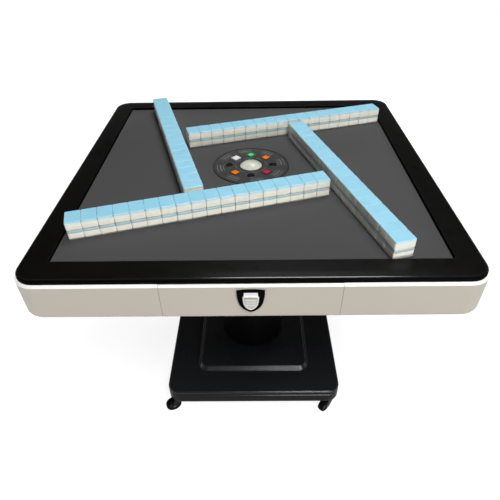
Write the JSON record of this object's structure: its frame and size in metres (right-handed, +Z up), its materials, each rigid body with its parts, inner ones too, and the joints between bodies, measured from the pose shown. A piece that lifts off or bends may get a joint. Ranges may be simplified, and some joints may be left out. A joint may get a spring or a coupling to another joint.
{
  "type": "automatic mahjong table",
  "caption": "Square game table on a column and caster base: skewed tile walls on risers, a rising centre disc with keys and dice dome, pull-out drawers and a tile-mixing turntable inside.",
  "frame": {"origin": "on the floor under the centre of the table", "axes": "+Z up, -Y towards the front drawer that faces the viewer, +X to the viewer's right"},
  "size_m": [0.9754, 0.9754, 0.812],
  "materials": {
    "base_black": "gloss black",
    "pan_black": "fine grain black",
    "ballast_iron": "primed",
    "zinc_steel": "zinc plated",
    "skirt_white": "satin warm white",
    "rim_black": "satin black",
    "board_wood": "raw fibreboard",
    "cloth_grey": "short nap",
    "inner_plastic": "moulded",
    "bush_brass": "turned",
    "motor_grey": "satin grey",
    "inlet_black": "moulded black",
    "disc_black": "smoked gloss",
    "dome_clear": "clear acrylic",
    "tile_ivory": "polished ivory",
    "key_black": "gloss black",
    "key_green": "gloss green",
    "key_orange": "gloss orange",
    "key_white": "gloss white",
    "key_red": "gloss red",
    "pull_black": "gloss black with a pale tab",
    "riser_alu": "extruded",
    "caster_black": "glass filled nylon",
    "wheel_rubber": "moulded tread"
  },
  "bodies": {
    "root": {"base_cover": "base_black", "base_frame": "ballast_iron", "column": "base_black", "belly_pan": "pan_black", "chassis_floor": "zinc_steel", "chassis_frame": "zinc_steel", "skirt_corners": "skirt_white", "top_frame": "rim_black", "top_board": "board_wood", "play_cloth": "cloth_grey", "hopper_bowl": "inner_plastic", "centre_post": "zinc_steel", "drawer_runners": "zinc_steel", "tile_channels": "zinc_steel", "riser_guides": "bush_brass", "control_box": "inner_plastic", "drive_motors": "motor_grey", "power_inlet": "inlet_black"},
    "mixing_turntable": {"turntable": "inner_plastic"},
    "centre_disc": {"disc_housing": "disc_black", "disc_face": "disc_black", "dice_dome": "dome_clear", "dice_tray": "inner_plastic", "dice": "tile_ivory"},
    "key_1_cap": {"key_1": "key_black"},
    "key_2_cap": {"key_2": "key_orange"},
    "key_3_cap": {"key_3": "key_green"},
    "key_4_cap": {"key_4": "key_white"},
    "key_5_cap": {"key_5": "key_black"},
    "key_6_cap": {"key_6": "key_orange"},
    "key_7_cap": {"key_7": "key_black"},
    "key_8_cap": {"key_8": "key_red"},
    "front_drawer": {"drawer_front_front": "skirt_white", "drawer_tray_front": "inner_plastic", "drawer_pull_front": "pull_black"},
    "right_drawer": {"drawer_front_right": "skirt_white", "drawer_tray_right": "inner_plastic", "drawer_pull_right": "pull_black"},
    "back_drawer": {"drawer_front_back": "skirt_white", "drawer_tray_back": "inner_plastic", "drawer_pull_back": "pull_black"},
    "left_drawer": {"drawer_front_left": "skirt_white", "drawer_tray_left": "inner_plastic", "drawer_pull_left": "pull_black"},
    "front_riser": {"riser_front": "riser_alu", "tile_wall_front": "tile_ivory"},
    "right_riser": {"riser_right": "riser_alu", "tile_wall_right": "tile_ivory"},
    "back_riser": {"riser_back": "riser_alu", "tile_wall_back": "tile_ivory"},
    "left_riser": {"riser_left": "riser_alu", "tile_wall_left": "tile_ivory"},
    "front_left_fork": {"caster_fork_front_left": "caster_black"},
    "front_left_wheel": {"caster_wheel_front_left": "wheel_rubber"},
    "front_right_fork": {"caster_fork_front_right": "caster_black"},
    "front_right_wheel": {"caster_wheel_front_right": "wheel_rubber"},
    "back_right_fork": {"caster_fork_back_right": "caster_black"},
    "back_right_wheel": {"caster_wheel_back_right": "wheel_rubber"},
    "back_left_fork": {"caster_fork_back_left": "caster_black"},
    "back_left_wheel": {"caster_wheel_back_left": "wheel_rubber"}
  },
  "joints": [
    {"name": "turntable_spin", "type": "hinge", "parent": "root", "child": "mixing_turntable", "pos_m": [0, 0, 0.635], "axis": [0, 0, 1], "continuous": true},
    {"name": "disc_lift", "type": "slide", "parent": "root", "child": "centre_disc", "axis": [0, 0, 1], "range_m": [0, 0.07]},
    {"name": "key_1_press", "type": "slide", "parent": "centre_disc", "child": "key_1_cap", "axis": [0, 0, -1], "range_m": [0, 0.002], "stiffness_N_per_m": 300, "springref_m": -0.002},
    {"name": "key_2_press", "type": "slide", "parent": "centre_disc", "child": "key_2_cap", "axis": [0, 0, -1], "range_m": [0, 0.002], "stiffness_N_per_m": 300, "springref_m": -0.002},
    {"name": "key_3_press", "type": "slide", "parent": "centre_disc", "child": "key_3_cap", "axis": [0, 0, -1], "range_m": [0, 0.002], "stiffness_N_per_m": 300, "springref_m": -0.002},
    {"name": "key_4_press", "type": "slide", "parent": "centre_disc", "child": "key_4_cap", "axis": [0, 0, -1], "range_m": [0, 0.002], "stiffness_N_per_m": 300, "springref_m": -0.002},
    {"name": "key_5_press", "type": "slide", "parent": "centre_disc", "child": "key_5_cap", "axis": [0, 0, -1], "range_m": [0, 0.002], "stiffness_N_per_m": 300, "springref_m": -0.002},
    {"name": "key_6_press", "type": "slide", "parent": "centre_disc", "child": "key_6_cap", "axis": [0, 0, -1], "range_m": [0, 0.002], "stiffness_N_per_m": 300, "springref_m": -0.002},
    {"name": "key_7_press", "type": "slide", "parent": "centre_disc", "child": "key_7_cap", "axis": [0, 0, -1], "range_m": [0, 0.002], "stiffness_N_per_m": 300, "springref_m": -0.002},
    {"name": "key_8_press", "type": "slide", "parent": "centre_disc", "child": "key_8_cap", "axis": [0, 0, -1], "range_m": [0, 0.002], "stiffness_N_per_m": 300, "springref_m": -0.002},
    {"name": "front_drawer_slide", "type": "slide", "parent": "root", "child": "front_drawer", "axis": [0, -1, 0], "range_m": [0, 0.13]},
    {"name": "right_drawer_slide", "type": "slide", "parent": "root", "child": "right_drawer", "axis": [1, 0, 0], "range_m": [0, 0.13]},
    {"name": "back_drawer_slide", "type": "slide", "parent": "root", "child": "back_drawer", "axis": [0, 1, 0], "range_m": [0, 0.13]},
    {"name": "left_drawer_slide", "type": "slide", "parent": "root", "child": "left_drawer", "axis": [-1, 0, 0], "range_m": [0, 0.13]},
    {"name": "front_riser_lift", "type": "slide", "parent": "root", "child": "front_riser", "axis": [0, 0, 1], "range_m": [-0.05, 0]},
    {"name": "right_riser_lift", "type": "slide", "parent": "root", "child": "right_riser", "axis": [0, 0, 1], "range_m": [-0.05, 0]},
    {"name": "back_riser_lift", "type": "slide", "parent": "root", "child": "back_riser", "axis": [0, 0, 1], "range_m": [-0.05, 0]},
    {"name": "left_riser_lift", "type": "slide", "parent": "root", "child": "left_riser", "axis": [0, 0, 1], "range_m": [-0.05, 0]},
    {"name": "front_left_swivel", "type": "hinge", "parent": "root", "child": "front_left_fork", "pos_m": [-0.249, -0.249, 0.06], "axis": [0, 0, 1], "continuous": true},
    {"name": "front_left_roll", "type": "hinge", "parent": "front_left_fork", "child": "front_left_wheel", "pos_m": [-0.26622, -0.25703, 0.025], "axis": [0.4226, -0.9063, 0], "continuous": true},
    {"name": "front_right_swivel", "type": "hinge", "parent": "root", "child": "front_right_fork", "pos_m": [0.249, -0.249, 0.06], "axis": [0, 0, 1], "continuous": true},
    {"name": "front_right_roll", "type": "hinge", "parent": "front_right_fork", "child": "front_right_wheel", "pos_m": [0.23488, -0.26171, 0.025], "axis": [0.6691, -0.7431, 0], "continuous": true},
    {"name": "back_right_swivel", "type": "hinge", "parent": "root", "child": "back_right_fork", "pos_m": [0.249, 0.249, 0.06], "axis": [0, 0, 1], "continuous": true},
    {"name": "back_right_roll", "type": "hinge", "parent": "back_right_fork", "child": "back_right_wheel", "pos_m": [0.26622, 0.25703, 0.025], "axis": [-0.4226, 0.9063, 0], "continuous": true},
    {"name": "back_left_swivel", "type": "hinge", "parent": "root", "child": "back_left_fork", "pos_m": [-0.249, 0.249, 0.06], "axis": [0, 0, 1], "continuous": true},
    {"name": "back_left_roll", "type": "hinge", "parent": "back_left_fork", "child": "back_left_wheel", "pos_m": [-0.26121, 0.26355, 0.025], "axis": [-0.766, -0.6428, 0], "continuous": true}
  ],
  "couplings": [
    {"joint": "right_riser_lift", "follows": "front_riser_lift", "ratio": 1},
    {"joint": "back_riser_lift", "follows": "front_riser_lift", "ratio": 1},
    {"joint": "left_riser_lift", "follows": "front_riser_lift", "ratio": 1}
  ]
}
